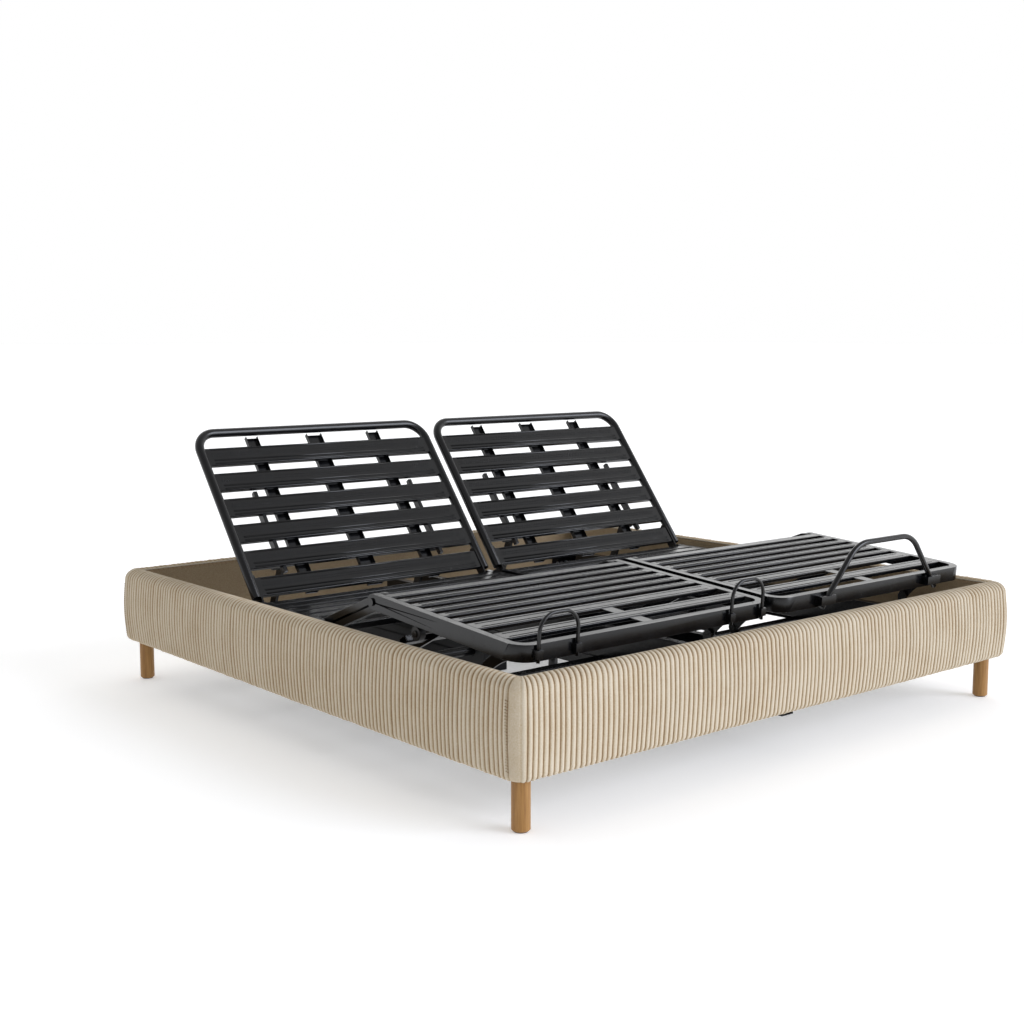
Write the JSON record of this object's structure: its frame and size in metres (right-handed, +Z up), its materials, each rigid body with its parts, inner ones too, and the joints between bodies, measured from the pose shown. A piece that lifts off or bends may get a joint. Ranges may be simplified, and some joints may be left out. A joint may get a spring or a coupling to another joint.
{
  "type": "adjustable bed base",
  "caption": "Double adjustable bed base: corduroy surround on round wooden legs, with two steel decks that raise the back and legs.",
  "frame": {"origin": "floor level, under the middle of the surround", "axes": "+X across the bed, +Y towards the head, +Z up"},
  "size_m": [2.13, 2.14, 0.8822],
  "materials": {
    "corduroy": "wide-wale corduroy, ivory beige",
    "pine": "planed softwood board",
    "beech": "turned beech, satin lacquer",
    "felt_glide": "plastic glide",
    "black_steel": "black satin powder coat",
    "zinc_steel": "zinc plated",
    "wheel_nylon": "moulded nylon",
    "slide_nylon": "natural nylon",
    "drive_plastic": "textured black ABS"
  },
  "bodies": {
    "surround": {"base_frames": "black_steel", "centre_beam": "black_steel", "centre_legs": "black_steel", "control_boxes": "drive_plastic", "corner_brackets": "black_steel", "corner_legs": "beech", "cover_foot": "corduroy", "cover_head": "corduroy", "cover_side_left": "corduroy", "cover_side_right": "corduroy", "drive_covers": "drive_plastic", "drive_housings": "drive_plastic", "drive_motors": "drive_plastic", "drive_spindles": "zinc_steel", "fasteners": "zinc_steel", "hinge_pins": "black_steel", "leg_glides": "felt_glide", "rail_boards": "pine", "seat_frames": "black_steel", "seat_slats": "black_steel", "side_ledgers": "black_steel"},
    "back_left": {"back_frame_left": "black_steel", "back_slats_left": "black_steel", "back_spines_left": "black_steel"},
    "thigh_left": {"thigh_frame_left": "black_steel", "thigh_slats_left": "black_steel", "knee_pins_left": "black_steel"},
    "calf_left": {"calf_frame_left": "black_steel", "calf_slats_left": "black_steel", "calf_pins_left": "black_steel", "retainer_left": "black_steel"},
    "calf_link_left": {"calf_links_left": "black_steel"},
    "back_lift_left": {"back_lift_arms_left": "black_steel", "back_lift_axles_left": "black_steel"},
    "back_wheels_left": {"back_rollers_left": "wheel_nylon"},
    "leg_lift_left": {"leg_lift_arms_left": "black_steel", "leg_lift_axles_left": "black_steel"},
    "leg_wheels_left": {"leg_rollers_left": "wheel_nylon"},
    "back_slide_left": {"back_push_slide_left": "slide_nylon"},
    "leg_slide_left": {"leg_push_slide_left": "slide_nylon"},
    "back_right": {"back_frame_right": "black_steel", "back_slats_right": "black_steel", "back_spines_right": "black_steel"},
    "thigh_right": {"thigh_frame_right": "black_steel", "thigh_slats_right": "black_steel", "knee_pins_right": "black_steel"},
    "calf_right": {"calf_frame_right": "black_steel", "calf_slats_right": "black_steel", "calf_pins_right": "black_steel", "retainer_right": "black_steel"},
    "calf_link_right": {"calf_links_right": "black_steel"},
    "back_lift_right": {"back_lift_arms_right": "black_steel", "back_lift_axles_right": "black_steel"},
    "back_wheels_right": {"back_rollers_right": "wheel_nylon"},
    "leg_lift_right": {"leg_lift_arms_right": "black_steel", "leg_lift_axles_right": "black_steel"},
    "leg_wheels_right": {"leg_rollers_right": "wheel_nylon"},
    "back_slide_right": {"back_push_slide_right": "slide_nylon"},
    "leg_slide_right": {"leg_push_slide_right": "slide_nylon"}
  },
  "joints": [
    {"name": "back_tilt_left", "type": "hinge", "parent": "surround", "child": "back_left", "pos_m": [-0.49, 0.32, 0.3425], "axis": [1, 0, 0], "range_deg": [-52, 8]},
    {"name": "leg_raise_left", "type": "hinge", "parent": "surround", "child": "thigh_left", "pos_m": [-0.49, -0.04, 0.3425], "axis": [-1, 0, 0], "range_deg": [-22, 16]},
    {"name": "knee_bend_left", "type": "hinge", "parent": "thigh_left", "child": "calf_left", "pos_m": [-0.49, -0.32743, 0.45863], "axis": [-1, 0, 0], "range_deg": [-19.2, 26.3]},
    {"name": "calf_link_swing_left", "type": "hinge", "parent": "surround", "child": "calf_link_left", "pos_m": [-0.49, -0.7554, 0.3193], "axis": [-1, 0, 0], "range_deg": [-31.9, 23.2]},
    {"name": "back_lift_turn_left", "type": "hinge", "parent": "surround", "child": "back_lift_left", "pos_m": [-0.49, 0.54, 0.245], "axis": [1, 0, 0], "range_deg": [-96, 15]},
    {"name": "leg_lift_turn_left", "type": "hinge", "parent": "surround", "child": "leg_lift_left", "pos_m": [-0.49, -0.23, 0.245], "axis": [-1, 0, 0], "range_deg": [-18.7, 13.6]},
    {"name": "back_wheel_spin_left", "type": "hinge", "parent": "back_lift_left", "child": "back_wheels_left", "pos_m": [-0.49, 0.45789, 0.45126], "axis": [1, 0, 0], "continuous": true},
    {"name": "leg_wheel_spin_left", "type": "hinge", "parent": "leg_lift_left", "child": "leg_wheels_left", "pos_m": [-0.49, -0.5264, 0.40111], "axis": [1, 0, 0], "continuous": true},
    {"name": "back_slide_push_left", "type": "slide", "parent": "surround", "child": "back_slide_left", "axis": [0, 1, 0], "range_m": [-0.072, 0.0112]},
    {"name": "leg_slide_push_left", "type": "slide", "parent": "surround", "child": "leg_slide_left", "axis": [0, -1, 0], "range_m": [-0.0162, 0.0118]},
    {"name": "back_tilt_right", "type": "hinge", "parent": "surround", "child": "back_right", "pos_m": [0.49, 0.32, 0.3425], "axis": [1, 0, 0], "range_deg": [-52, 8]},
    {"name": "leg_raise_right", "type": "hinge", "parent": "surround", "child": "thigh_right", "pos_m": [0.49, -0.04, 0.3425], "axis": [-1, 0, 0], "range_deg": [-22, 16]},
    {"name": "knee_bend_right", "type": "hinge", "parent": "thigh_right", "child": "calf_right", "pos_m": [0.49, -0.32743, 0.45863], "axis": [-1, 0, 0], "range_deg": [-19.2, 26.3]},
    {"name": "calf_link_swing_right", "type": "hinge", "parent": "surround", "child": "calf_link_right", "pos_m": [0.49, -0.7554, 0.3193], "axis": [-1, 0, 0], "range_deg": [-31.9, 23.2]},
    {"name": "back_lift_turn_right", "type": "hinge", "parent": "surround", "child": "back_lift_right", "pos_m": [0.49, 0.54, 0.245], "axis": [1, 0, 0], "range_deg": [-96, 15]},
    {"name": "leg_lift_turn_right", "type": "hinge", "parent": "surround", "child": "leg_lift_right", "pos_m": [0.49, -0.23, 0.245], "axis": [-1, 0, 0], "range_deg": [-18.7, 13.6]},
    {"name": "back_wheel_spin_right", "type": "hinge", "parent": "back_lift_right", "child": "back_wheels_right", "pos_m": [0.49, 0.45789, 0.45126], "axis": [1, 0, 0], "continuous": true},
    {"name": "leg_wheel_spin_right", "type": "hinge", "parent": "leg_lift_right", "child": "leg_wheels_right", "pos_m": [0.49, -0.5264, 0.40111], "axis": [1, 0, 0], "continuous": true},
    {"name": "back_slide_push_right", "type": "slide", "parent": "surround", "child": "back_slide_right", "axis": [0, 1, 0], "range_m": [-0.072, 0.0112]},
    {"name": "leg_slide_push_right", "type": "slide", "parent": "surround", "child": "leg_slide_right", "axis": [0, -1, 0], "range_m": [-0.0162, 0.0118]}
  ],
  "couplings": [
    {"joint": "knee_bend_left", "follows": "leg_raise_left", "ratio": -1.1818},
    {"joint": "calf_link_swing_left", "follows": "leg_raise_left", "ratio": 1.4358},
    {"joint": "leg_lift_turn_left", "follows": "leg_raise_left", "ratio": 0.839},
    {"joint": "leg_slide_push_left", "follows": "leg_raise_left", "m_per_rad": 0.0415},
    {"joint": "back_lift_turn_left", "follows": "back_tilt_left", "ratio": 1.83},
    {"joint": "back_slide_push_left", "follows": "back_tilt_left", "m_per_rad": 0.0781},
    {"joint": "knee_bend_right", "follows": "leg_raise_right", "ratio": -1.1818},
    {"joint": "calf_link_swing_right", "follows": "leg_raise_right", "ratio": 1.4358},
    {"joint": "leg_lift_turn_right", "follows": "leg_raise_right", "ratio": 0.839},
    {"joint": "leg_slide_push_right", "follows": "leg_raise_right", "m_per_rad": 0.0415},
    {"joint": "back_lift_turn_right", "follows": "back_tilt_right", "ratio": 1.83},
    {"joint": "back_slide_push_right", "follows": "back_tilt_right", "m_per_rad": 0.0781}
  ]
}
